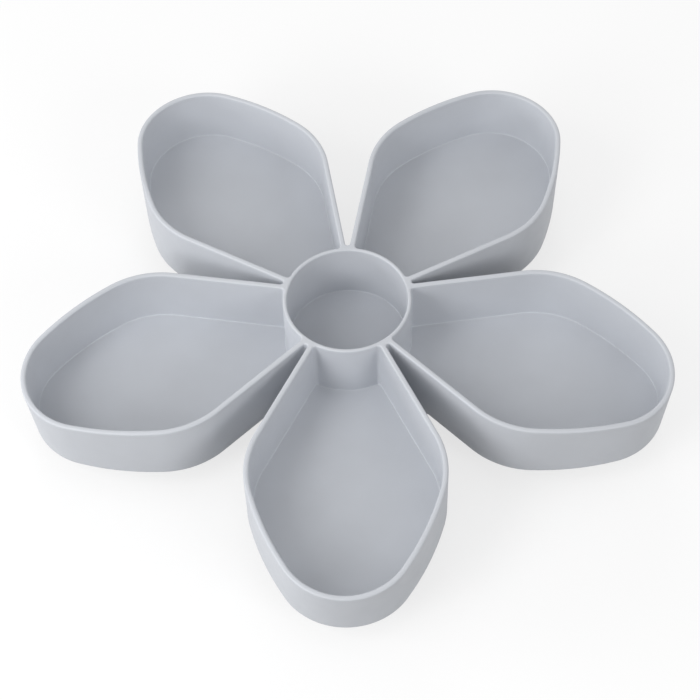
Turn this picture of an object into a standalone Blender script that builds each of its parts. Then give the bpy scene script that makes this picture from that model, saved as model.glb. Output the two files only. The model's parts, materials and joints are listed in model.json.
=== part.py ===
# Rotating snack tray: five kite-shaped petal bowls round a cup, on a ball-bearing turntable.
# Metres, +Z up. The origin is on the spin axis, on the surface that the pad stands on.
# The first petal points to -Y, and the others follow counter-clockwise.

import math

import bmesh
import bpy
from mathutils import Matrix, Vector

# Petal bowls in plan, measured on the inside of the wall
PETALS = 5
PETAL_REACH = 0.150
TIP_RADIUS = 0.029
FLANK_RADIUS = 0.1314
SHOULDER_RADIUS = 0.0391
SHOULDER_TURN = math.radians(41.75)
MOUTH_CORNER = 0.0018
WALL = 0.0025

# Hub: the cup, and the web between it and the slots and petals
CUP_RADIUS = 0.0277
HUB_WALL = 0.0018
HUB_WEB = 0.0034
SLOT_HALF_ANGLE = math.radians(9.8)
SLOT_END_RADIUS = 0.0012

# Tray, upright
TRAY_HEIGHT = 0.034
FLOOR_THICK = 0.003
FLOOR_FILLET = 0.0012
OUTER_EDGE = 0.0015
RIM_ROUND = 0.0008
RIM_ROUND_SHARE = 0.45

# Tips: from LOBE_START on, the rim falls and the wall leans outward, more and more
LOBE_START = 0.032
TIP_LEAN = 0.0023
TIP_LEAN_POWER = 2
TIP_FALL = 0.0034
TIP_FALL_POWER = 2.65

# Bearing
BALLS = 12
BALL_RADIUS = 0.003
RACE_HALF_WIDTH = 0.0065
RACE_DEPTH = 0.0012
RACE_LIP = 0.0018
CAGE_THICK = 0.0024
CAGE_HALF_WIDTH = 0.0055
CAGE_GAP = 0.0015

# Turntable base
PAD_THICK = 0.0016
PAD_RECESS = 0.001
BASE_RADIUS = 0.0495
BASE_WALL = 0.0022
BASE_FLOOR = 0.0026
BASE_EDGE = 0.0012
FOOT_RIM = 0.002

# Upper race plate
TOP_PLATE = 0.0026
PIVOT_BOSS_RADIUS = 0.0065
COLLAR_WALL = 0.0024
PIVOT_WEB = 0.0022

# Screws; a head has a hexagon socket
PIVOT_SHANK = 0.0017
PIVOT_HEAD_RADIUS = 0.0040
PIVOT_HEAD = 0.0022
PIVOT_SOCKET = 0.0013
WASHER_RADIUS = 0.0047
WASHER_THICK = 0.0006
SCREW_SHANK = 0.00145
SCREW_HEAD_RADIUS = 0.0029
SCREW_HEAD = 0.0017
SCREW_LENGTH = 0.007
SCREW_SOCKET = 0.0010
BOSS_RADIUS = 0.0036
BOSS_LENGTH = 0.0046
SOCKET_WALL = 0.0021
SOCKET_WEB = 0.0015

# Clearances: seats, running gaps and the overrun of cuts
SEAT_GAP = 0.0003
RUN_GAP = 0.001
CUT_OVERRUN = 0.002
MERGE = 0.00001
ARC_STEP = math.radians(8)
SMALL_ARC_STEP = math.radians(22)
FLAT_ANGLE = math.radians(0.5)
EDGE_ANGLE = math.radians(60)
BEVEL_STEPS = 2
TURN_STEPS = 40
SMALL_STEPS = 16
BALL_SIDES = 12
BALL_RINGS = 7

# Circles of the balls and of the tray's screws, inwards from the base's wall
BALL_CIRCLE = BASE_RADIUS - BASE_WALL - RUN_GAP - RACE_LIP - RACE_HALF_WIDTH
SOCKET_RADIUS = BOSS_RADIUS + SEAT_GAP + SOCKET_WALL
SCREW_CIRCLE = BALL_CIRCLE - CAGE_HALF_WIDTH - CAGE_GAP - SOCKET_RADIUS

# Levels, from the resting surface up
BASE_UNDER = PAD_THICK + SEAT_GAP
FOOT_LEVEL = BASE_UNDER - PAD_RECESS
BASE_TOP = BASE_UNDER + BASE_FLOOR
BALL_LEVEL = BASE_TOP + SEAT_GAP + BALL_RADIUS
TOP_UNDER = BALL_LEVEL + BALL_RADIUS + SEAT_GAP
TOP_LEVEL = TOP_UNDER + TOP_PLATE
TRAY_UNDER = TOP_LEVEL + SEAT_GAP
FLOOR_LEVEL = TRAY_UNDER + FLOOR_THICK
RIM_LEVEL = TRAY_UNDER + TRAY_HEIGHT
HEAD_TOP = BASE_UNDER + SEAT_GAP + PIVOT_HEAD
WASHER_TOP = HEAD_TOP + SEAT_GAP + WASHER_THICK
WEB_UNDER = WASHER_TOP + SEAT_GAP
WEB_TOP = WEB_UNDER + PIVOT_WEB
BOSS_UNDER = TRAY_UNDER - BOSS_LENGTH
SOCKET_FLOOR = BOSS_UNDER - SEAT_GAP
SOCKET_UNDER = SOCKET_FLOOR - SOCKET_WEB
SCREW_SEAT = SOCKET_UNDER - SEAT_GAP

# Colours, roughness and metallic value
TRAY_GREY = ((0.56, 0.58, 0.61, 1.0), 0.55, 0.0)
BASE_GREY = ((0.36, 0.38, 0.41, 1.0), 0.55, 0.0)
CAGE_WHITE = ((0.78, 0.78, 0.75, 1.0), 0.45, 0.0)
BALL_STEEL = ((0.78, 0.79, 0.80, 1.0), 0.15, 1.0)
SCREW_STEEL = ((0.62, 0.62, 0.63, 1.0), 0.30, 1.0)
PAD_RUBBER = ((0.05, 0.05, 0.055, 1.0), 0.80, 0.0)


def heading(angle):
    """The unit vector at an angle."""
    return Vector((math.cos(angle), math.sin(angle)))


def arc(centre, radius, start, turn, step=ARC_STEP):
    """Points of an arc from angle start through turn, both ends included."""
    count = max(2, math.ceil(abs(turn) / step))
    return [centre + radius * heading(start + turn * k / count) for k in range(count + 1)]


def circle(centre, radius, sides):
    """Points of a full circle."""
    return [centre + radius * heading(2 * math.pi * k / sides) for k in range(sides)]


def petal_angle(k):
    """Direction of petal k; the first petal points to -Y."""
    return 2 * math.pi * k / PETALS - math.pi / 2


def rotated(points, angle):
    """The points turned about the origin."""
    turn = Matrix.Rotation(angle, 2)
    return [turn @ p for p in points]


def mirrored(points):
    """The points mirrored in the petal's own axis, in reverse order."""
    return [Vector((p.x, -p.y)) for p in reversed(points)]


def side_angle():
    """Angle between a petal's axis and its straight side."""
    return math.pi / PETALS - SLOT_HALF_ANGLE


def side_offset():
    """Distance of the straight side's line from the spin axis, on the inside of the wall.

    It leaves room for the wall and for the slot's round end beside the hub's web."""
    narrowing = math.sin(SLOT_HALF_ANGLE)
    slot_end = CUP_RADIUS + HUB_WEB
    return slot_end * narrowing - WALL - SLOT_END_RADIUS * (1 - narrowing)


def petal_side(grow):
    """Shoulder, flank and tip arcs of one half petal, for the petal lying along +X.

    The straight side runs out until the flank's arc touches the arc of the tip. The arcs
    keep their centres, and grow is added to their radii."""
    side = side_angle()
    normal = heading(side + math.pi / 2)
    along = heading(side)
    shoulder_end = side + math.pi / 2 - SHOULDER_TURN
    tip_centre = Vector((PETAL_REACH - TIP_RADIUS, 0))
    flank_start = (side_offset() - SHOULDER_RADIUS) * normal
    flank_start += (SHOULDER_RADIUS - FLANK_RADIUS) * heading(shoulder_end)
    reach = tip_centre - flank_start
    run = reach.dot(along)
    run -= math.sqrt(run ** 2 - reach.length_squared + (FLANK_RADIUS - TIP_RADIUS) ** 2)
    shoulder_centre = (side_offset() - SHOULDER_RADIUS) * normal + run * along
    flank_centre = flank_start + run * along
    to_tip = tip_centre - flank_centre
    flank_end = math.atan2(to_tip.y, to_tip.x)
    points = arc(shoulder_centre, SHOULDER_RADIUS + grow, side + math.pi / 2, -SHOULDER_TURN)
    points += arc(flank_centre, FLANK_RADIUS + grow, shoulder_end, flank_end - shoulder_end)[1:]
    points += arc(tip_centre, TIP_RADIUS + grow, flank_end, -flank_end)[1:]
    return points


def flower_outline():
    """Outer outline of the tray: petals with slots between them that end round at the hub."""
    side = side_angle()
    half_sector = math.pi / PETALS
    slot_centre = (CUP_RADIUS + HUB_WEB + SLOT_END_RADIUS) * heading(half_sector)
    turn = math.pi / 2 - SLOT_HALF_ANGLE
    slot_end = arc(slot_centre, SLOT_END_RADIUS, half_sector + math.pi, turn, SMALL_ARC_STEP)
    half = slot_end + petal_side(WALL)
    petal = mirrored(half)[::-1][1:] + half[::-1][1:]
    outline = []
    for k in range(PETALS):
        outline += rotated(petal, petal_angle(k))
    return outline


def mouth_outline():
    """Inside outline of a petal bowl lying along +X; its hub side runs round the cup."""
    side = side_angle()
    hub_radius = CUP_RADIUS + HUB_WALL
    reach = hub_radius + MOUTH_CORNER
    corner_angle = side + math.asin((side_offset() - MOUTH_CORNER) / reach)
    turn = side - math.pi / 2 - corner_angle
    half = arc(Vector((0, 0)), hub_radius, 0, corner_angle)
    half += arc(reach * heading(corner_angle), MOUTH_CORNER, corner_angle + math.pi, turn,
                SMALL_ARC_STEP)[1:]
    half += petal_side(0)
    return half + mirrored(half)[1:-1]


def in_collection(obj, collection):
    """Move an object to one of the file's collections."""
    for owner in list(obj.users_collection):
        owner.objects.unlink(obj)
    collection.objects.link(obj)
    return obj


def prism(name, loops, bottom, top):
    """Upright solid between two levels; the first loop is its outline and the rest are holes."""
    curve = bpy.data.curves.new(name, "CURVE")
    curve.dimensions = "2D"
    curve.fill_mode = "BOTH"
    curve.extrude = (top - bottom) / 2
    for loop in loops:
        spline = curve.splines.new("POLY")
        spline.points.add(len(loop) - 1)
        for point, place in zip(spline.points, loop):
            point.co = (place.x, place.y, 0, 1)
        spline.use_cyclic_u = True
    guide = bpy.data.objects.new(name + "_outline", curve)
    bpy.context.scene.collection.objects.link(guide)
    guide.location.z = (top + bottom) / 2
    bpy.context.view_layer.update()
    evaluated = guide.evaluated_get(bpy.context.evaluated_depsgraph_get())
    mesh = bpy.data.meshes.new_from_object(evaluated)
    mesh.transform(guide.matrix_world)
    bpy.data.objects.remove(guide)
    closed = bmesh.new()
    closed.from_mesh(mesh)
    bmesh.ops.remove_doubles(closed, verts=closed.verts, dist=MERGE)
    bmesh.ops.recalc_face_normals(closed, faces=closed.faces)
    if len(loops) == 1:
        bmesh.ops.dissolve_limit(closed, angle_limit=FLAT_ANGLE, verts=closed.verts,
                                 edges=closed.edges)
    closed.to_mesh(mesh)
    closed.free()
    mesh.name = name
    return bpy.data.objects.new(name, mesh)


def turned(name, profile, steps, closed=True):
    """Solid of revolution; the profile of (radius, level) pairs runs down its outer side."""
    mesh = bpy.data.meshes.new(name)
    verts = [(radius, 0, level) for radius, level in profile]
    edges = [(k, k + 1) for k in range(len(verts) - 1)]
    if closed:
        edges.append((len(verts) - 1, 0))
    mesh.from_pydata(verts, edges, [])
    obj = bpy.data.objects.new(name, mesh)
    screw = obj.modifiers.new("Turn", "SCREW")
    screw.steps = steps
    screw.render_steps = steps
    screw.use_merge_vertices = True
    screw.merge_threshold = MERGE
    screw.use_smooth_shade = True
    return obj


def rounded(obj, width, method="ANGLE"):
    """Round the sharp edges of a piece, or those with a bevel weight."""
    bevel = obj.modifiers.new("Round", "BEVEL")
    bevel.width = width
    bevel.segments = BEVEL_STEPS
    bevel.limit_method = method
    bevel.angle_limit = EDGE_ANGLE
    bevel.use_clamp_overlap = False


def combined(obj, other, operation):
    """Join another solid to a piece, or cut it out of the piece."""
    step = obj.modifiers.new(other.name, "BOOLEAN")
    step.operation = operation
    step.object = other
    step.solver = "EXACT"


def tool(obj):
    """Keep a cutter or an added solid out of the part itself."""
    in_collection(obj, SHAPERS)
    obj.hide_render = True
    obj.display_type = "WIRE"
    return obj


def finished(obj, parent, look):
    """File a piece in the part's collection, under its body, with its material."""
    in_collection(obj, PARTS)
    obj.parent = parent
    colour, roughness, metallic = look
    material = bpy.data.materials.new(obj.name)
    material.use_nodes = True
    shader = material.node_tree.nodes["Principled BSDF"]
    shader.inputs["Base Color"].default_value = colour
    shader.inputs["Roughness"].default_value = roughness
    shader.inputs["Metallic"].default_value = metallic
    obj.data.materials.clear()
    obj.data.materials.append(material)
    obj.data.shade_smooth()
    obj.data.set_sharp_from_angle(angle=math.radians(35))
    return obj


def body_frame(name):
    """Empty on the spin axis that carries the pieces of one body."""
    frame = bpy.data.objects.new(name, None)
    PARTS.objects.link(frame)
    return frame


def screw_places():
    """Places of the tray's screws, one on each petal's axis under the cup."""
    return [SCREW_CIRCLE * heading(petal_angle(k)) for k in range(PETALS)]


def add_petal_tray(parent):
    """The moulded tray: petal bowls and cup cut from one block, with screw bosses beneath."""
    tray = prism("petal_tray", [flower_outline()], TRAY_UNDER, RIM_LEVEL)
    rounded_bottom(tray)
    for k in range(PETALS):
        outline = rotated(mouth_outline(), petal_angle(k))
        bowl = tool(prism(f"bowl_space_{k + 1}", [outline], FLOOR_LEVEL,
                           RIM_LEVEL + CUT_OVERRUN))
        rounded(bowl, FLOOR_FILLET)
        combined(tray, bowl, "DIFFERENCE")
    mouth = circle(Vector((0, 0)), CUP_RADIUS, TURN_STEPS)
    cup = tool(prism("cup_space", [mouth], FLOOR_LEVEL, RIM_LEVEL + CUT_OVERRUN))
    rounded(cup, FLOOR_FILLET)
    combined(tray, cup, "DIFFERENCE")
    rounded(tray, min(RIM_ROUND, RIM_ROUND_SHARE * HUB_WALL))
    lean_tips(tray)
    for k, place in enumerate(screw_places()):
        boss = circle(place, BOSS_RADIUS, SMALL_STEPS)
        post = tool(prism(f"screw_boss_{k + 1}", [boss], BOSS_UNDER,
                          TRAY_UNDER + FLOOR_THICK / 2))
        combined(tray, post, "UNION")
        pilot = circle(place, SCREW_SHANK + SEAT_GAP, SMALL_STEPS)
        hole = tool(prism(f"pilot_hole_{k + 1}", [pilot], BOSS_UNDER - CUT_OVERRUN,
                          SCREW_SEAT + SCREW_LENGTH + SEAT_GAP))
        combined(tray, hole, "DIFFERENCE")
    return finished(tray, parent, TRAY_GREY)


def rounded_bottom(tray):
    """Round only the lower outer edge of the tray's block."""
    lower = tray.data.attributes.new("bevel_weight_edge", "FLOAT", "EDGE")
    for edge in tray.data.edges:
        levels = [tray.data.vertices[v].co.z for v in edge.vertices]
        lower.data[edge.index].value = float(max(levels) < TRAY_UNDER + MERGE)
    rounded(tray, OUTER_EDGE, "WEIGHT")


def tip_shift(place):
    """How far a point of the upright walls moves, so that the tip leans and its rim falls."""
    sector = 2 * math.pi / PETALS
    nearest = round((math.atan2(place.y, place.x) - petal_angle(0)) / sector)
    axis = heading(petal_angle(nearest))
    run = max(0, (place.xy.dot(axis) - LOBE_START) / (PETAL_REACH - LOBE_START))
    below_rim = (RIM_LEVEL - place.z) / TRAY_HEIGHT
    above_floor = max(0, (place.z - FLOOR_LEVEL) / (RIM_LEVEL - FLOOR_LEVEL))
    inward = -TIP_LEAN * run ** TIP_LEAN_POWER * below_rim * axis
    return Vector((inward.x, inward.y, -TIP_FALL * run ** TIP_FALL_POWER * above_floor))


def lean_tips(tray):
    """Apply the cuts so far, and shape the walls towards the tips."""
    in_collection(tray, PARTS)
    bpy.context.view_layer.update()
    evaluated = tray.evaluated_get(bpy.context.evaluated_depsgraph_get())
    mesh = bpy.data.meshes.new_from_object(evaluated)
    walls = bmesh.new()
    walls.from_mesh(mesh)
    bmesh.ops.triangulate(walls, faces=walls.faces)
    for vert in walls.verts:
        vert.co += tip_shift(vert.co)
    walls.to_mesh(mesh)
    walls.free()
    tray.modifiers.clear()
    tray.data = mesh


def groove(sign):
    """Half-round race about the ball circle, inside to outside; sign is -1 below the balls."""
    radius = BALL_RADIUS + SEAT_GAP
    half = math.acos((radius - RACE_DEPTH) / radius)
    centre = Vector((BALL_CIRCLE, BALL_LEVEL))
    points = arc(centre, radius, -math.pi / 2 - half, 2 * half, SMALL_ARC_STEP)
    return [(p.x, BALL_LEVEL - sign * (p.y - BALL_LEVEL)) for p in points]


def add_base(parent):
    """The lower dish: foot rim, pad recess, race, pivot collar and outer wall."""
    inner = BASE_RADIUS - BASE_WALL
    recess = BASE_RADIUS - FOOT_RIM - BASE_EDGE - SEAT_GAP
    wall_top = TRAY_UNDER - RUN_GAP
    land = BASE_TOP + RACE_DEPTH
    collar = PIVOT_BOSS_RADIUS + SEAT_GAP
    collar_top = TOP_UNDER - RUN_GAP
    counterbore = WASHER_RADIUS + SEAT_GAP
    shank_hole = PIVOT_SHANK + 2 * SEAT_GAP
    race_in = BALL_CIRCLE - RACE_HALF_WIDTH
    race_out = BALL_CIRCLE + RACE_HALF_WIDTH
    edge_centre = Vector((BASE_RADIUS - BASE_EDGE, FOOT_LEVEL + BASE_EDGE))
    profile = [(inner, wall_top), (BASE_RADIUS, wall_top)]
    edge = arc(edge_centre, BASE_EDGE, 0, -math.pi / 2, SMALL_ARC_STEP)
    profile += [tuple(p) for p in edge]
    profile += [(recess, FOOT_LEVEL), (recess, BASE_UNDER), (counterbore, BASE_UNDER)]
    profile += [(counterbore, WEB_UNDER), (shank_hole, WEB_UNDER), (shank_hole, WEB_TOP)]
    profile += [(collar, WEB_TOP), (collar, collar_top), (collar + COLLAR_WALL, collar_top)]
    profile += [(collar + COLLAR_WALL, BASE_TOP), (race_in, BASE_TOP), (race_in, land)]
    profile += groove(-1)
    profile += [(race_out, land), (race_out, BASE_TOP), (inner, BASE_TOP)]
    base = turned("turntable_base", profile, TURN_STEPS)
    return finished(base, parent, BASE_GREY)


def add_top_plate(parent):
    """The upper race plate, with a pivot boss and sockets for the tray's bosses."""
    rim = BASE_RADIUS - BASE_WALL - RUN_GAP
    land = TOP_UNDER - RACE_DEPTH
    bore = PIVOT_SHANK + SEAT_GAP
    boss_end = WEB_TOP + SEAT_GAP
    race_in = BALL_CIRCLE - RACE_HALF_WIDTH
    race_out = BALL_CIRCLE + RACE_HALF_WIDTH
    profile = [(bore, TOP_LEVEL), (rim, TOP_LEVEL), (rim, TOP_UNDER), (race_out, TOP_UNDER)]
    profile += [(race_out, land)]
    profile += groove(1)[::-1]
    profile += [(race_in, land), (race_in, TOP_UNDER), (PIVOT_BOSS_RADIUS, TOP_UNDER)]
    profile += [(PIVOT_BOSS_RADIUS, boss_end), (bore, boss_end)]
    plate = turned("turntable_top", profile, TURN_STEPS)
    for k, place in enumerate(screw_places()):
        outside = circle(place, SOCKET_RADIUS, SMALL_STEPS)
        socket = tool(prism(f"boss_socket_{k + 1}", [outside], SOCKET_UNDER,
                            TOP_UNDER + TOP_PLATE / 2))
        combined(plate, socket, "UNION")
        space = circle(place, BOSS_RADIUS + SEAT_GAP, SMALL_STEPS)
        cut = tool(prism(f"socket_space_{k + 1}", [space], SOCKET_FLOOR,
                         TOP_LEVEL + CUT_OVERRUN))
        combined(plate, cut, "DIFFERENCE")
        shank = circle(place, SCREW_SHANK + SEAT_GAP, SMALL_STEPS)
        hole = tool(prism(f"screw_hole_{k + 1}", [shank], SOCKET_UNDER - CUT_OVERRUN,
                          SOCKET_FLOOR + CUT_OVERRUN))
        combined(plate, hole, "DIFFERENCE")
    return finished(plate, parent, BASE_GREY)


def add_cage(parent):
    """The ring that keeps the balls apart, with a round window for each."""
    middle = Vector((0, 0))
    loops = [circle(middle, BALL_CIRCLE + CAGE_HALF_WIDTH, TURN_STEPS)]
    loops.append(circle(middle, BALL_CIRCLE - CAGE_HALF_WIDTH, TURN_STEPS))
    for k in range(BALLS):
        place = BALL_CIRCLE * heading(ball_angle(k))
        loops.append(circle(place, BALL_RADIUS + SEAT_GAP, SMALL_STEPS))
    half = CAGE_THICK / 2
    cage = prism("ball_cage", loops, BALL_LEVEL - half, BALL_LEVEL + half)
    return finished(cage, parent, CAGE_WHITE)


def ball_angle(k):
    """Direction of ball k."""
    return 2 * math.pi * k / BALLS


def add_balls(parent):
    """Steel balls, each with its origin at its centre."""
    shape = bpy.data.meshes.new("bearing_ball")
    sphere = bmesh.new()
    bmesh.ops.create_uvsphere(sphere, u_segments=BALL_SIDES, v_segments=BALL_RINGS,
                              radius=BALL_RADIUS)
    sphere.to_mesh(shape)
    sphere.free()
    for k in range(BALLS):
        ball = bpy.data.objects.new(f"bearing_ball_{k + 1:02d}", shape)
        place = BALL_CIRCLE * heading(ball_angle(k))
        ball.location = (place.x, place.y, BALL_LEVEL)
        finished(ball, parent, BALL_STEEL)


def screw_piece(name, head_radius, head, shank, length, socket, location, parent):
    """Screw with its head down and a hexagon socket; its origin is where the head seats."""
    profile = [(0, length), (shank / 2, length), (shank, length - shank / 2), (shank, 0)]
    profile += [(head_radius, 0), (head_radius, -head * 0.7), (head_radius * 0.8, -head)]
    profile += [(0, -head)]
    piece = turned(name, profile, SMALL_STEPS, closed=False)
    piece.location = location
    drive = prism(name + "_drive", [circle(Vector((0, 0)), socket, 6)],
                  -head - CUT_OVERRUN, -head / 2)
    tool(drive)
    drive.location = location
    combined(piece, drive, "DIFFERENCE")
    return finished(piece, parent, SCREW_STEEL)


def add_screws(parent):
    """The pivot screw on the spin axis and the tray's screws round it."""
    screw_piece("pivot_screw", PIVOT_HEAD_RADIUS, PIVOT_HEAD, PIVOT_SHANK,
                TOP_LEVEL - 2 * SEAT_GAP - HEAD_TOP, PIVOT_SOCKET, (0, 0, HEAD_TOP), parent)
    for k, place in enumerate(screw_places()):
        screw_piece(f"tray_screw_{k + 1}", SCREW_HEAD_RADIUS, SCREW_HEAD, SCREW_SHANK,
                    SCREW_LENGTH, SCREW_SOCKET, (place.x, place.y, SCREW_SEAT), parent)


def add_washer(parent):
    """Washer between the pivot screw's head and the base."""
    hole = PIVOT_SHANK + SEAT_GAP
    under = WASHER_TOP - WASHER_THICK
    profile = [(hole, WASHER_TOP), (WASHER_RADIUS, WASHER_TOP)]
    profile += [(WASHER_RADIUS, under), (hole, under)]
    finished(turned("pivot_washer", profile, 2 * SMALL_STEPS), parent, SCREW_STEEL)


def add_pad(parent):
    """The disc of soft rubber that the tray stands on."""
    radius = BASE_RADIUS - FOOT_RIM - BASE_EDGE - 2 * SEAT_GAP
    pad = prism("non_slip_pad", [circle(Vector((0, 0)), radius, TURN_STEPS)], 0, PAD_THICK)
    finished(pad, parent, PAD_RUBBER)


def new_collection(name):
    """A collection in the scene."""
    collection = bpy.data.collections.new(name)
    bpy.context.scene.collection.children.link(collection)
    return collection


for old in list(bpy.data.objects):
    bpy.data.objects.remove(old)

PARTS = new_collection("rotating_snack_tray")
SHAPERS = new_collection("shapers")

base_body = body_frame("base_body")
add_base(base_body)
add_washer(base_body)
add_pad(base_body)

cage_body = body_frame("cage_body")
add_cage(cage_body)
add_balls(cage_body)

tray_body = body_frame("tray_body")
add_top_plate(tray_body)
add_screws(tray_body)
add_petal_tray(tray_body)
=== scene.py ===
# Looks of the rotating snack tray: a matte grey moulding on a low turntable.
import json
import math

import bmesh
import bpy
from mathutils import Matrix, Vector

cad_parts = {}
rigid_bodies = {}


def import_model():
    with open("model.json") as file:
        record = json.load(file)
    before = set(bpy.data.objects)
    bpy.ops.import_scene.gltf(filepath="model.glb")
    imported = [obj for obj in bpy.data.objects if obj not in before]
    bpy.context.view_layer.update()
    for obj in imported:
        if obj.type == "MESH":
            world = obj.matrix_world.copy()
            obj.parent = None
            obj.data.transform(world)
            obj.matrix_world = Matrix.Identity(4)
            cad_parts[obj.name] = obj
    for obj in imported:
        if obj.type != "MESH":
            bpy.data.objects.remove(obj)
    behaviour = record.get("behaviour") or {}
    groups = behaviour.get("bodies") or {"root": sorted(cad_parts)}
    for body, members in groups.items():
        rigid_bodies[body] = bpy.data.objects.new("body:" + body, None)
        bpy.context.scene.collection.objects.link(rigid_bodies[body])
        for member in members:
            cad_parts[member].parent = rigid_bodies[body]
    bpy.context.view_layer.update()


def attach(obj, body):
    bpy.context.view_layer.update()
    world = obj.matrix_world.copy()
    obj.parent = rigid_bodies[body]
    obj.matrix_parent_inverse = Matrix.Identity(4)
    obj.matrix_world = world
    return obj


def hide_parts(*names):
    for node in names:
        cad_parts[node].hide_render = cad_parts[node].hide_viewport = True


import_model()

# Petal bowls in plan, measured on the inside of the wall
PETALS = 5
PETAL_REACH = 0.150
TIP_RADIUS = 0.029
FLANK_RADIUS = 0.1314
SHOULDER_RADIUS = 0.0391
SHOULDER_TURN = math.radians(41.75)
MOUTH_CORNER = 0.0018
WALL = 0.00245

# Hub
CUP_RADIUS = 0.0277
HUB_WALL = 0.0018
HUB_WEB = 0.0034
SLOT_HALF_ANGLE = math.radians(9.8)
SLOT_END_RADIUS = 0.0012

# Tray, upright
TRAY_UNDER = 0.014
RIM_LEVEL = 0.048
FLOOR_LEVEL = 0.017
FLOOR_FILLET = 0.0005
OUTER_EDGE = 0.0015

# Rounding of the rim: the hub's own out to HUB_RIM_END, the full one from FULL_RIM_START on
RIM_ROUND = 0.001
HUB_RIM_ROUND = 0.0008
HUB_RIM_END = 0.031
FULL_RIM_START = 0.04

# Narrow strips beside the roundings, which keep the shading of the flat faces flat
WALL_MARGIN = 0.0004
CAP_MARGIN = 0.00005
FLOOR_MARGIN = 0.0003

# Tips: from LOBE_START on, the rim falls and the wall leans outward, more and more
LOBE_START = 0.032
TIP_LEAN = 0.0023
TIP_LEAN_POWER = 2
TIP_FALL = 0.0034
TIP_FALL_POWER = 2.65

# Screw bosses under the tray
BOSS_CIRCLE = 0.025
BOSS_RADIUS = 0.0036
BOSS_END = 0.0094
BOSS_ROUND = 0.0003
PILOT_RADIUS = 0.00175
PILOT_TOP = 0.0146

# Steps of the arcs
ARC_STEP = math.radians(2)
SMALL_ARC_STEP = math.radians(9)
LEAST_STEPS = 2
ROUND_STEPS = 6
SMALL_ROUND_STEPS = 3
BASE_EDGE_STEPS = 8
RACE_STEPS = 12
CUP_STEPS = 144
BOSS_STEPS = 48
TURN_STEPS = 144

# Edges sharper than this stay sharp in the shading
SHARP_ANGLE = math.radians(35)

# A length under this counts as none
NEXT_TO_NOTHING = 0.00005

# How much of each of its sides the rounding of a corner may take
SIDE_SHARE = 0.4

# Turntable, measured from the spin axis and the resting surface
BASE_RADIUS = 0.0495
BASE_INSIDE = 0.0473
BASE_TOP_LEVEL = 0.013
BASE_EDGE = 0.0012
FOOT_LEVEL = 0.0009
BASE_UNDER = 0.0019
BASE_FLOOR = 0.0045
PAD_RECESS_RADIUS = 0.046
COUNTERBORE_RADIUS = 0.005
WEB_UNDER = 0.0056
WEB_TOP = 0.0078
SHANK_HOLE = 0.0023
COLLAR_INSIDE = 0.0068
COLLAR_OUTSIDE = 0.0092
COLLAR_TOP = 0.0101
RACE_INSIDE = 0.0315
RACE_OUTSIDE = 0.0445
RACE_LAND = 0.0057
GROOVE_RADIUS = 0.0033
RIM_SOFTENING = 0.0004
PAD_RADIUS = 0.0457
PAD_THICK = 0.0016
PAD_ROUND = 0.0004

# Ball bearing
BALLS = 12
BALL_RADIUS = 0.003
BALL_CIRCLE = 0.038
BALL_LEVEL = 0.0078
BALL_SEGMENTS = 32
BALL_RINGS = 16
CAGE_HALF_WIDTH = 0.0055
CAGE_HALF_THICK = 0.0012
CAGE_ROUND = 0.0003
WINDOW_RADIUS = 0.0033
WINDOW_STEPS = 40


def heading(angle):
    """The unit vector at an angle."""
    return Vector((math.cos(angle), math.sin(angle)))


class Outline:
    """A line in plan: its points, each with the direction in which the outline grows."""

    def __init__(self, points=(), normals=()):
        self.points = list(points)
        self.normals = list(normals)

    def arc(self, centre, radius, start, turn, step=ARC_STEP, inward=False):
        """Add an arc; an inward one grows towards its centre. A shared point isn't repeated."""
        count = max(LEAST_STEPS, math.ceil(abs(turn) / step))
        sign = -1 if inward else 1
        for k in range(1 if self.points else 0, count + 1):
            direction = heading(start + turn * k / count)
            self.points.append(centre + radius * direction)
            self.normals.append(sign * direction)
        return self

    def part(self, start, end=None):
        """A stretch of the line."""
        return Outline(self.points[start:end], self.normals[start:end])

    def joined(self, other):
        """The line followed by another one."""
        return Outline(self.points + other.points, self.normals + other.normals)

    def backwards(self):
        """The line run from its end to its start."""
        return Outline(self.points[::-1], self.normals[::-1])

    def mirrored(self):
        """The line mirrored in the X axis."""
        return Outline([Vector((p.x, -p.y)) for p in self.points],
                       [Vector((n.x, -n.y)) for n in self.normals])

    def turned(self, angle):
        """The line turned about the spin axis."""
        turn = Matrix.Rotation(angle, 2)
        return Outline([turn @ p for p in self.points], [turn @ n for n in self.normals])


def circle(centre, radius, steps):
    """A full circle."""
    directions = [heading(2 * math.pi * k / steps) for k in range(steps)]
    return Outline([centre + radius * d for d in directions], directions)


def petal_angle(k):
    """Direction of petal k; the first petal points to -Y."""
    return 2 * math.pi * k / PETALS - math.pi / 2


def side_angle():
    """Angle between a petal's axis and its straight side."""
    return math.pi / PETALS - SLOT_HALF_ANGLE


def side_offset():
    """Distance of the straight side's line from the spin axis, on the inside of the wall."""
    narrowing = math.sin(SLOT_HALF_ANGLE)
    slot_end = CUP_RADIUS + HUB_WEB
    return slot_end * narrowing - WALL - SLOT_END_RADIUS * (1 - narrowing)


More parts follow.
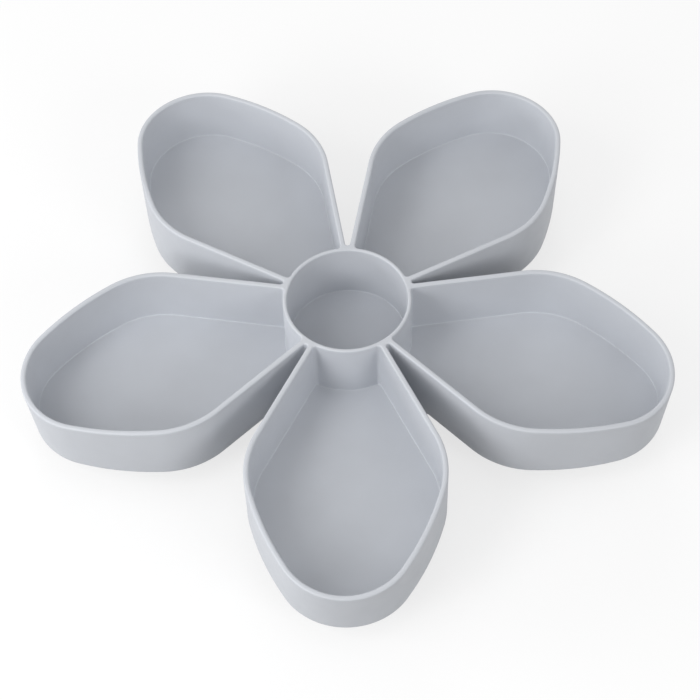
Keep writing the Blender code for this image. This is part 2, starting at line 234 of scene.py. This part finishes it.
def add_petal_side(line, grow):
    """Add shoulder, flank and tip arcs of one half petal, for the petal lying along +X."""
    along = heading(side_angle())
    shoulder_start = side_angle() + math.pi / 2
    shoulder_end = shoulder_start - SHOULDER_TURN
    tip_centre = Vector((PETAL_REACH - TIP_RADIUS, 0))
    # Laid out abreast of the spin axis, then run out along the side until flank and tip meet
    shoulder_centre = (side_offset() - SHOULDER_RADIUS) * heading(shoulder_start)
    flank_centre = shoulder_centre + (SHOULDER_RADIUS - FLANK_RADIUS) * heading(shoulder_end)
    reach = tip_centre - flank_centre
    run = reach.dot(along)
    run -= math.sqrt(run ** 2 - reach.length_squared + (FLANK_RADIUS - TIP_RADIUS) ** 2)
    shoulder_centre += run * along
    flank_centre += run * along
    to_tip = tip_centre - flank_centre
    flank_end = math.atan2(to_tip.y, to_tip.x)
    line.points.append(shoulder_centre + (SHOULDER_RADIUS + grow) * heading(shoulder_start))
    line.normals.append(heading(shoulder_start))
    line.arc(shoulder_centre, SHOULDER_RADIUS + grow, shoulder_start, -SHOULDER_TURN)
    line.arc(flank_centre, FLANK_RADIUS + grow, shoulder_end, flank_end - shoulder_end)
    line.arc(tip_centre, TIP_RADIUS + grow, flank_end, -flank_end)


def flower_outline():
    """Outer outline of the tray: petals with slots between them that end round at the hub."""
    half_sector = math.pi / PETALS
    slot_centre = (CUP_RADIUS + HUB_WEB + SLOT_END_RADIUS) * heading(half_sector)
    half = Outline().arc(slot_centre, SLOT_END_RADIUS, half_sector + math.pi,
                         math.pi / 2 - SLOT_HALF_ANGLE, SMALL_ARC_STEP, inward=True)
    add_petal_side(half, WALL)
    petal = half.mirrored().part(1).joined(half.backwards().part(1))
    outline = Outline()
    for k in range(PETALS):
        outline = outline.joined(petal.turned(petal_angle(k)))
    return outline


def mouth_outline():
    """Inside outline of a petal bowl lying along +X; its hub side runs round the cup."""
    side = side_angle()
    hub_radius = CUP_RADIUS + HUB_WALL
    reach = hub_radius + MOUTH_CORNER
    corner_angle = side + math.asin((side_offset() - MOUTH_CORNER) / reach)
    half = Outline().arc(Vector((0, 0)), hub_radius, 0, corner_angle, inward=True)
    half.arc(reach * heading(corner_angle), MOUTH_CORNER, corner_angle + math.pi,
             side - math.pi / 2 - corner_angle, SMALL_ARC_STEP)
    add_petal_side(half, 0)
    return half.joined(half.mirrored().backwards().part(1, -1))


def arc_pairs(grow, level, radius, start, turn=-math.pi / 2, steps=ROUND_STEPS):
    """(grow, level) pairs of an arc about a centre, a quarter round unless told otherwise."""
    pairs = []
    for k in range(steps + 1):
        direction = heading(start + turn * k / steps)
        pairs.append((grow + radius * direction.x, level + radius * direction.y))
    return pairs


def bowl_profile(rim):
    """Profile of a bowl from the flat of the rim down to its floor, grown from the opening."""
    pairs = [(rim + CAP_MARGIN, RIM_LEVEL)]
    pairs += arc_pairs(rim, RIM_LEVEL - rim, rim, math.pi / 2, math.pi / 2)
    pairs.append((0, RIM_LEVEL - rim - WALL_MARGIN))
    pairs.append((0, FLOOR_LEVEL + FLOOR_FILLET + WALL_MARGIN))
    pairs += arc_pairs(-FLOOR_FILLET, FLOOR_LEVEL + FLOOR_FILLET, FLOOR_FILLET, 0)
    pairs.append((-FLOOR_FILLET - FLOOR_MARGIN, FLOOR_LEVEL))
    return pairs


def outer_profile(rim):
    """Profile of the outer wall from the flat of the rim down to the underside."""
    pairs = [(-rim - CAP_MARGIN, RIM_LEVEL)]
    pairs += arc_pairs(-rim, RIM_LEVEL - rim, rim, math.pi / 2)
    pairs.append((0, RIM_LEVEL - rim - WALL_MARGIN))
    pairs.append((0, TRAY_UNDER + OUTER_EDGE + WALL_MARGIN))
    pairs += arc_pairs(-OUTER_EDGE, TRAY_UNDER + OUTER_EDGE, OUTER_EDGE, 0)
    pairs.append((-OUTER_EDGE - FLOOR_MARGIN, TRAY_UNDER))
    return pairs


def boss_profile():
    """Profile of a screw boss, from the tray's underside down and up its pilot hole."""
    pilot = PILOT_RADIUS - BOSS_RADIUS
    pairs = [(BOSS_ROUND + FLOOR_MARGIN, TRAY_UNDER)]
    pairs += arc_pairs(BOSS_ROUND, TRAY_UNDER - BOSS_ROUND, BOSS_ROUND,
                       math.pi / 2, math.pi / 2, SMALL_ROUND_STEPS)
    pairs += arc_pairs(-BOSS_ROUND, BOSS_END + BOSS_ROUND, BOSS_ROUND,
                       0, steps=SMALL_ROUND_STEPS)
    pairs += [(pilot, BOSS_END), (pilot, PILOT_TOP)]
    return pairs


def with_rim(outline, profile):
    """A profile at each point of an outline, its rim rounded less on the thin wall of the hub."""
    profiles = []
    for point in outline.points:
        share = (point.length - HUB_RIM_END) / (FULL_RIM_START - HUB_RIM_END)
        rim = HUB_RIM_ROUND + (RIM_ROUND - HUB_RIM_ROUND) * min(1, max(0, share))
        profiles.append(profile(rim))
    return profiles


def new_object(name, mesh):
    """An object in the scene from a bmesh, shaded smooth."""
    data = bpy.data.meshes.new(name)
    mesh.to_mesh(data)
    mesh.free()
    data.shade_smooth()
    data.set_sharp_from_angle(angle=SHARP_ANGLE)
    obj = bpy.data.objects.new(name, data)
    bpy.context.scene.collection.objects.link(obj)
    return obj


class Shell:
    """A closed mesh put together from swept walls and flat caps."""

    def __init__(self):
        self.mesh = bmesh.new()

    def wall(self, outline, profiles):
        """Faces along an outline, from a profile at each of its points; gives both end rings."""
        rings = []
        for pairs in zip(*profiles):
            ring = []
            for point, normal, (grow, level) in zip(outline.points, outline.normals, pairs):
                place = point + grow * normal
                ring.append(self.mesh.verts.new((place.x, place.y, level)))
            rings.append(ring)
        for upper, lower in zip(rings, rings[1:]):
            for k in range(len(upper)):
                self.mesh.faces.new((upper[k - 1], upper[k], lower[k], lower[k - 1]))
        return rings[0], rings[-1]

    def cap(self, *loops):
        """Flat faces between loops; a loop inside another one is a hole."""
        edges = []
        for loop in loops:
            for k in range(len(loop)):
                pair = (loop[k - 1], loop[k])
                edges.append(self.mesh.edges.get(pair) or self.mesh.edges.new(pair))
        bmesh.ops.triangle_fill(self.mesh, edges=edges, use_beauty=True)

    def finish(self, name):
        """The object, with its faces turned outwards."""
        bmesh.ops.recalc_face_normals(self.mesh, faces=self.mesh.faces)
        return new_object(name, self.mesh)


def tip_shift(place):
    """How far a point of the upright walls moves, so that the tip leans and its rim falls."""
    sector = 2 * math.pi / PETALS
    nearest = round((math.atan2(place.y, place.x) - petal_angle(0)) / sector)
    axis = heading(petal_angle(nearest))
    run = max(0, (place.xy.dot(axis) - LOBE_START) / (PETAL_REACH - LOBE_START))
    below_rim = (RIM_LEVEL - place.z) / (RIM_LEVEL - TRAY_UNDER)
    above_floor = max(0, (place.z - FLOOR_LEVEL) / (RIM_LEVEL - FLOOR_LEVEL))
    inward = -TIP_LEAN * run ** TIP_LEAN_POWER * below_rim * axis
    return Vector((inward.x, inward.y, -TIP_FALL * run ** TIP_FALL_POWER * above_floor))


def make_tray():
    """The moulded tray: five bowls and a cup in one piece, with bosses underneath."""
    shell = Shell()
    flower = flower_outline()
    rim, underside = shell.wall(flower, with_rim(flower, outer_profile))
    rims = [rim]
    openings = [mouth_outline().turned(petal_angle(k)) for k in range(PETALS)]
    openings.append(circle(Vector((0, 0)), CUP_RADIUS, CUP_STEPS))
    for opening in openings:
        rim, floor = shell.wall(opening, with_rim(opening, bowl_profile))
        rims.append(rim)
        shell.cap(floor)
    shell.cap(*rims)
    roots = [underside]
    for k in range(PETALS):
        boss = circle(BOSS_CIRCLE * heading(petal_angle(k)), BOSS_RADIUS, BOSS_STEPS)
        root, hole_end = shell.wall(boss, [boss_profile()] * BOSS_STEPS)
        roots.append(root)
        shell.cap(hole_end)
    shell.cap(*roots)
    for vert in shell.mesh.verts:
        vert.co += tip_shift(vert.co)
    return shell.finish("tray_moulding")


def softened(profile, radius):
    """A closed profile with its sharp corners rounded, as far as its short sides leave room."""
    points = [Vector(pair) for pair in profile]
    out = []
    for k, corner in enumerate(points):
        before = points[k - 1] - corner
        after = points[(k + 1) % len(points)] - corner
        angle = before.angle(after)
        room = SIDE_SHARE * min(before.length, after.length)
        cut = min(radius / math.tan(angle / 2), room)
        on_axis = corner.x < NEXT_TO_NOTHING
        if on_axis or math.pi - angle < SHARP_ANGLE or cut < NEXT_TO_NOTHING:
            out.append(tuple(corner))
            continue
        size = cut * math.tan(angle / 2)
        middle = (before.normalized() + after.normalized()).normalized()
        centre = corner + middle * (size / math.sin(angle / 2))
        first = corner + before.normalized() * cut - centre
        last = corner + after.normalized() * cut - centre
        start = math.atan2(first.y, first.x)
        out += arc_pairs(centre.x, centre.y, size, start, -first.angle_signed(last),
                         SMALL_ROUND_STEPS)
    return out


def make_turned(name, profile):
    """Solid of revolution from a closed profile of (radius, level) pairs."""
    mesh = bmesh.new()
    turns = [heading(2 * math.pi * k / TURN_STEPS) for k in range(TURN_STEPS)]
    rings = []
    for radius, level in profile:
        if radius < NEXT_TO_NOTHING:
            rings.append([mesh.verts.new((0, 0, level))] * TURN_STEPS)
        else:
            rings.append([mesh.verts.new((radius * d.x, radius * d.y, level)) for d in turns])
    for k in range(len(rings)):
        upper, lower = rings[k - 1], rings[k]
        for j in range(TURN_STEPS):
            corners = []
            for vert in (upper[j - 1], upper[j], lower[j], lower[j - 1]):
                if vert not in corners:
                    corners.append(vert)
            if len(corners) > 2:
                mesh.faces.new(corners)
    bmesh.ops.recalc_face_normals(mesh, faces=mesh.faces)
    return new_object(name, mesh)


def make_base():
    """The lower dish of the turntable, with its race and pivot collar."""
    half = math.acos((BALL_LEVEL - RACE_LAND) / GROOVE_RADIUS)
    profile = [(BASE_INSIDE, BASE_TOP_LEVEL), (BASE_RADIUS, BASE_TOP_LEVEL)]
    profile += arc_pairs(BASE_RADIUS - BASE_EDGE, FOOT_LEVEL + BASE_EDGE, BASE_EDGE,
                         0, steps=BASE_EDGE_STEPS)
    profile += [(PAD_RECESS_RADIUS, FOOT_LEVEL), (PAD_RECESS_RADIUS, BASE_UNDER)]
    profile += [(COUNTERBORE_RADIUS, BASE_UNDER), (COUNTERBORE_RADIUS, WEB_UNDER)]
    profile += [(SHANK_HOLE, WEB_UNDER), (SHANK_HOLE, WEB_TOP), (COLLAR_INSIDE, WEB_TOP)]
    profile += [(COLLAR_INSIDE, COLLAR_TOP), (COLLAR_OUTSIDE, COLLAR_TOP)]
    profile += [(COLLAR_OUTSIDE, BASE_FLOOR), (RACE_INSIDE, BASE_FLOOR), (RACE_INSIDE, RACE_LAND)]
    profile += arc_pairs(BALL_CIRCLE, BALL_LEVEL, GROOVE_RADIUS,
                         -math.pi / 2 - half, 2 * half, RACE_STEPS)
    profile += [(RACE_OUTSIDE, RACE_LAND), (RACE_OUTSIDE, BASE_FLOOR), (BASE_INSIDE, BASE_FLOOR)]
    return make_turned("turntable_dish", softened(profile, RIM_SOFTENING))


def make_pad():
    """The rubber disc under the turntable."""
    profile = [(0, PAD_THICK), (PAD_RADIUS, PAD_THICK), (PAD_RADIUS, 0), (0, 0)]
    return make_turned("rubber_pad", softened(profile, PAD_ROUND))


def ball_place(k):
    """Place of ball k in plan."""
    return BALL_CIRCLE * heading(2 * math.pi * k / BALLS)


def make_cage():
    """The ring that keeps the balls apart."""
    top = BALL_LEVEL + CAGE_HALF_THICK
    under = BALL_LEVEL - CAGE_HALF_THICK
    outside = [(-CAGE_ROUND - CAP_MARGIN, top)]
    outside += arc_pairs(-CAGE_ROUND, top - CAGE_ROUND, CAGE_ROUND,
                         math.pi / 2, steps=SMALL_ROUND_STEPS)
    outside += arc_pairs(-CAGE_ROUND, under + CAGE_ROUND, CAGE_ROUND,
                         0, steps=SMALL_ROUND_STEPS)
    outside.append((-CAGE_ROUND - CAP_MARGIN, under))
    inside = [(-grow, level) for grow, level in outside]
    middle = Vector((0, 0))
    walls = [(circle(middle, BALL_CIRCLE + CAGE_HALF_WIDTH, TURN_STEPS), outside),
             (circle(middle, BALL_CIRCLE - CAGE_HALF_WIDTH, TURN_STEPS), inside)]
    for k in range(BALLS):
        window = circle(ball_place(k), WINDOW_RADIUS, WINDOW_STEPS)
        walls.append((window, [(0, top), (0, under)]))
    shell = Shell()
    rings = [shell.wall(outline, [pairs] * len(outline.points)) for outline, pairs in walls]
    shell.cap(*[upper for upper, lower in rings])
    shell.cap(*[lower for upper, lower in rings])
    return shell.finish("cage_ring")


def make_ball(k):
    """One polished ball, in the place of the CAD model's one."""
    mesh = bmesh.new()
    bmesh.ops.create_uvsphere(mesh, u_segments=BALL_SEGMENTS, v_segments=BALL_RINGS,
                              radius=BALL_RADIUS)
    place = ball_place(k)
    bmesh.ops.translate(mesh, verts=mesh.verts, vec=(place.x, place.y, BALL_LEVEL))
    return new_object(f"polished_ball_{k + 1:02d}", mesh)


# A noise pattern is used from PATTERN_LOW to PATTERN_HIGH, where most of its values lie
PATTERN_LOW = 0.3
PATTERN_HIGH = 0.7


class Finish:
    """A procedural material on object coordinates."""

    def __init__(self, name, metallic=0):
        self.material = bpy.data.materials.new(name)
        self.material.use_nodes = True
        self.nodes = self.material.node_tree.nodes
        self.links = self.material.node_tree.links
        self.shader = self.nodes["Principled BSDF"]
        self.shader.inputs["Metallic"].default_value = metallic
        self.coords = self.nodes.new("ShaderNodeTexCoord")

    def texture(self, kind, scale):
        """A texture node on the object coordinates; scale is in cycles a metre."""
        node = self.nodes.new(kind)
        node.inputs["Scale"].default_value = scale
        self.links.new(self.coords.outputs["Object"], node.inputs["Vector"])
        return node

    def noise(self, scale, detail=3):
        """A noise pattern; more detail adds finer noise."""
        node = self.texture("ShaderNodeTexNoise", scale)
        node.inputs["Detail"].default_value = detail
        return node.outputs["Fac"]

    def pebbles(self, scale):
        """A pattern of small pebbles."""
        return self.texture("ShaderNodeTexVoronoi", scale).outputs["Distance"]

    def colour(self, pattern, low, high):
        """Colour that drifts between two tones with the pattern."""
        ramp = self.nodes.new("ShaderNodeValToRGB")
        stops = ((PATTERN_LOW, low), (PATTERN_HIGH, high))
        for element, (place, tone) in zip(ramp.color_ramp.elements, stops):
            element.position = place
            element.color = (*tone, 1)
        self.links.new(pattern, ramp.inputs["Fac"])
        self.links.new(ramp.outputs["Color"], self.shader.inputs["Base Color"])

    def roughness(self, pattern, low, high):
        """Roughness that drifts between two values with the pattern."""
        spread = self.nodes.new("ShaderNodeMapRange")
        spread.inputs["From Min"].default_value = PATTERN_LOW
        spread.inputs["From Max"].default_value = PATTERN_HIGH
        spread.inputs["To Min"].default_value = low
        spread.inputs["To Max"].default_value = high
        self.links.new(pattern, spread.inputs["Value"])
        self.links.new(spread.outputs["Result"], self.shader.inputs["Roughness"])

    def bump(self, pattern, height, strength):
        """Relief; height is in metres."""
        bump = self.nodes.new("ShaderNodeBump")
        bump.inputs["Strength"].default_value = strength
        bump.inputs["Distance"].default_value = height
        self.links.new(pattern, bump.inputs["Height"])
        self.links.new(bump.outputs["Normal"], self.shader.inputs["Normal"])

    def on(self, *objects):
        """Put the material on new pieces, or in the material slots of CAD nodes."""
        for obj in objects:
            if not obj.material_slots:
                obj.data.materials.append(self.material)
            for slot in obj.material_slots:
                slot.material = self.material


def tray_finish():
    """Matte grey polypropylene with a fine spark-eroded grain."""
    finish = Finish("matte_grey_plastic")
    finish.colour(finish.noise(scale=35), low=(0.532, 0.551, 0.587), high=(0.556, 0.577, 0.615))
    finish.roughness(finish.noise(scale=180), low=0.48, high=0.58)
    finish.bump(finish.noise(scale=2600, detail=2), height=0.00003, strength=0.35)
    return finish


def turntable_finish():
    """The darker plastic of the turntable."""
    finish = Finish("turntable_grey_plastic")
    finish.colour(finish.noise(scale=45), low=(0.34, 0.36, 0.39), high=(0.37, 0.39, 0.42))
    finish.roughness(finish.noise(scale=200), low=0.46, high=0.56)
    finish.bump(finish.noise(scale=2600, detail=2), height=0.00003, strength=0.35)
    return finish


def cage_finish():
    """Unpainted white nylon."""
    finish = Finish("cage_white_nylon")
    finish.colour(finish.noise(scale=90), low=(0.74, 0.74, 0.70), high=(0.80, 0.80, 0.77))
    finish.roughness(finish.noise(scale=260), low=0.38, high=0.48)
    finish.bump(finish.noise(scale=1500, detail=2), height=0.00002, strength=0.25)
    return finish


def pad_finish():
    """Black rubber with a fine pebbled face."""
    finish = Finish("pad_black_rubber")
    finish.colour(finish.noise(scale=160), low=(0.035, 0.035, 0.038), high=(0.055, 0.055, 0.060))
    finish.roughness(finish.noise(scale=400), low=0.72, high=0.86)
    finish.bump(finish.pebbles(scale=900), height=0.00012, strength=0.6)
    return finish


def ball_finish():
    """Polished steel."""
    finish = Finish("polished_ball_steel", metallic=1)
    finish.colour(finish.noise(scale=300), low=(0.76, 0.77, 0.78), high=(0.80, 0.81, 0.82))
    finish.roughness(finish.noise(scale=900, detail=4), low=0.10, high=0.18)
    finish.bump(finish.noise(scale=1800, detail=4), height=0.00001, strength=0.1)
    return finish


def screw_finish():
    """Zinc-plated steel with fine marks."""
    finish = Finish("screw_zinc_steel", metallic=1)
    finish.colour(finish.noise(scale=300), low=(0.56, 0.56, 0.55), high=(0.66, 0.66, 0.67))
    finish.roughness(finish.noise(scale=900, detail=4), low=0.25, high=0.40)
    finish.bump(finish.noise(scale=1800, detail=4), height=0.00001, strength=0.3)
    return finish


def dress():
    """Replace the coarser CAD pieces, ride the new ones and give every piece its finish."""
    turntable = turntable_finish()
    rows = [(make_tray(), "tray", "petal_tray", "tray_plastic", tray_finish()),
            (make_base(), "base", "turntable_base", "turntable_plastic", turntable),
            (make_pad(), "base", "non_slip_pad", "rubber", pad_finish()),
            (make_cage(), "cage", "ball_cage", "cage_plastic", cage_finish())]
    polished = ball_finish()
    for k in range(BALLS):
        rows.append((make_ball(k), f"ball_{k + 1:02d}", f"bearing_ball_{k + 1:02d}",
                     "ball_steel", polished))
    for piece, body, node, slot, finish in rows:
        finish.on(piece)
        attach(piece, body)
        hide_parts(node)
    turntable.on(bpy.data.objects["turntable_top"])
    screws = [bpy.data.objects[f"tray_screw_{k + 1}"] for k in range(PETALS)]
    screw_finish().on(bpy.data.objects["pivot_screw"], bpy.data.objects["pivot_washer"], *screws)


# Camera, as fitted to the photograph; its distance is from the middle of the rim's plane
CAMERA_ELEVATION = math.radians(55.366)
CAMERA_AZIMUTH = math.radians(1.916)
CAMERA_ROLL = math.radians(-1.904)
CAMERA_DISTANCE = 0.928395
FOCAL_PIXELS = 2033.6
PICTURE_PIXELS = 700
SENSOR_MILLIMETRES = 36

# How far that middle lies to the right of and above the middle of the picture
MIDDLE_ASIDE = -0.001316
MIDDLE_ABOVE = 0.023436


def add_camera():
    """The camera at the photograph's viewing angle."""
    flat = math.cos(CAMERA_ELEVATION)
    back = Vector((math.sin(CAMERA_AZIMUTH) * flat, -math.cos(CAMERA_AZIMUTH) * flat,
                   math.sin(CAMERA_ELEVATION)))
    level = Vector((math.cos(CAMERA_AZIMUTH), math.sin(CAMERA_AZIMUTH), 0))
    right = Matrix.Rotation(CAMERA_ROLL, 3, back) @ level
    up = back.cross(right)
    place = CAMERA_DISTANCE * back - MIDDLE_ASIDE * right - MIDDLE_ABOVE * up
    place.z += RIM_LEVEL
    data = bpy.data.cameras.new("photo_camera")
    data.sensor_width = SENSOR_MILLIMETRES
    data.sensor_fit = "HORIZONTAL"
    data.lens = FOCAL_PIXELS * SENSOR_MILLIMETRES / PICTURE_PIXELS
    camera = bpy.data.objects.new("photo_camera", data)
    axes = Matrix((right, up, back)).transposed()
    camera.matrix_world = Matrix.Translation(place) @ axes.to_4x4()
    bpy.context.scene.collection.objects.link(camera)
    bpy.context.scene.camera = camera


# Lamps, round discs of light that all look at the tray: name, watts, size, place
LAMPS = [("key_left", 4.1, 0.46, (-0.704, -0.704, 0.575)),
         ("high_left", 2.3, 0.46, (-0.640, -0.370, 0.881)),
         ("low_left", 3.4, 0.46, (-1.125, 0.0, 0.239)),
         ("fill_right", 8.2, 0.8, (1.22, -1.22, 1.0)),
         ("back", 5.3, 0.8, (0.0, 1.73, 1.0))]
LAMP_TARGET = (0.0, 0.0, 0.03)

# World light on the object; where the world is seen itself, its strength is 1
WORLD_STRENGTH = 0.54
WHITE = (1, 1, 1, 1)

# Floor, a little below the pad's underside, so that the two faces don't flicker
FLOOR_SIZE = 6.0
FLOOR_GAP = 0.00005

# The floor's paint, where it is seen and for the light that it throws back on the object
FLOOR_SEEN = 0.95
FLOOR_BOUNCE = 0.4

# The floor's own shading where it is seen: its share, and the distances where that fades out
SHADOW_SHARE = 0.3
SHADOW_FULL = 0.3
SHADOW_GONE = 0.9


def add_lights():
    """Large soft lamps round the tray."""
    for name, watts, size, place in LAMPS:
        data = bpy.data.lights.new(name, "AREA")
        data.shape = "DISK"
        data.size = size
        data.energy = watts
        lamp = bpy.data.objects.new(name, data)
        lamp.location = place
        away = Vector(place) - Vector(LAMP_TARGET)
        lamp.rotation_euler = away.to_track_quat("Z", "Y").to_euler()
        bpy.context.scene.collection.objects.link(lamp)


def seen_straight(nodes, links):
    """1 for camera, glossy and transmission rays, otherwise 0."""
    path = nodes.new("ShaderNodeLightPath")
    value = path.outputs["Is Camera Ray"]
    for name in ("Is Glossy Ray", "Is Transmission Ray"):
        either = nodes.new("ShaderNodeMath")
        either.operation = "MAXIMUM"
        links.new(value, either.inputs[0])
        links.new(path.outputs[name], either.inputs[1])
        value = either.outputs["Value"]
    return value


def add_world():
    """Even light from all round, which the camera sees as white."""
    world = bpy.data.worlds.new("soft_studio")
    bpy.context.scene.world = world
    world.use_nodes = True
    nodes, links = world.node_tree.nodes, world.node_tree.links
    seen = nodes["Background"]
    seen.inputs["Color"].default_value = WHITE
    seen.inputs["Strength"].default_value = 1
    ambient = nodes.new("ShaderNodeBackground")
    ambient.inputs["Color"].default_value = WHITE
    ambient.inputs["Strength"].default_value = WORLD_STRENGTH
    mix = nodes.new("ShaderNodeMixShader")
    links.new(seen_straight(nodes, links), mix.inputs["Fac"])
    links.new(ambient.outputs["Background"], mix.inputs[1])
    links.new(seen.outputs["Background"], mix.inputs[2])
    links.new(mix.outputs["Shader"], nodes["World Output"].inputs["Surface"])


def whiteness(nodes, links):
    """How much of the floor reads plain white: more and more away from the spin axis."""
    coords = nodes.new("ShaderNodeTexCoord")
    away = nodes.new("ShaderNodeVectorMath")
    away.operation = "LENGTH"
    links.new(coords.outputs["Object"], away.inputs[0])
    fade = nodes.new("ShaderNodeMapRange")
    fade.interpolation_type = "SMOOTHSTEP"
    fade.inputs["From Min"].default_value = SHADOW_FULL
    fade.inputs["From Max"].default_value = SHADOW_GONE
    fade.inputs["To Min"].default_value = 1 - SHADOW_SHARE
    fade.inputs["To Max"].default_value = 1
    links.new(away.outputs["Value"], fade.inputs["Value"])
    return fade.outputs["Result"]


def add_floor():
    """Pale floor that reads white in the picture and keeps a soft shadow."""
    half = FLOOR_SIZE / 2
    plane = bmesh.new()
    corners = [plane.verts.new((x * half, y * half, -FLOOR_GAP))
               for x, y in ((-1, -1), (1, -1), (1, 1), (-1, 1))]
    plane.faces.new(corners)
    floor = new_object("studio_floor", plane)
    material = bpy.data.materials.new("pale_floor")
    material.use_nodes = True
    nodes, links = material.node_tree.nodes, material.node_tree.links
    nodes.remove(nodes["Principled BSDF"])
    seen = seen_straight(nodes, links)
    tone = nodes.new("ShaderNodeMapRange")
    tone.inputs["To Min"].default_value = FLOOR_BOUNCE
    tone.inputs["To Max"].default_value = FLOOR_SEEN
    links.new(seen, tone.inputs["Value"])
    paint = nodes.new("ShaderNodeBsdfDiffuse")
    links.new(tone.outputs["Result"], paint.inputs["Color"])
    white = nodes.new("ShaderNodeEmission")
    share = nodes.new("ShaderNodeMath")
    share.operation = "MULTIPLY"
    links.new(seen, share.inputs[0])
    links.new(whiteness(nodes, links), share.inputs[1])
    mix = nodes.new("ShaderNodeMixShader")
    links.new(share.outputs["Value"], mix.inputs["Fac"])
    links.new(paint.outputs["BSDF"], mix.inputs[1])
    links.new(white.outputs["Emission"], mix.inputs[2])
    links.new(mix.outputs["Shader"], nodes["Material Output"].inputs["Surface"])
    floor.data.materials.append(material)


dress()
add_camera()
add_lights()
add_world()
add_floor()
bpy.context.scene.view_settings.view_transform = "Standard"

bpy.context.view_layer.update()
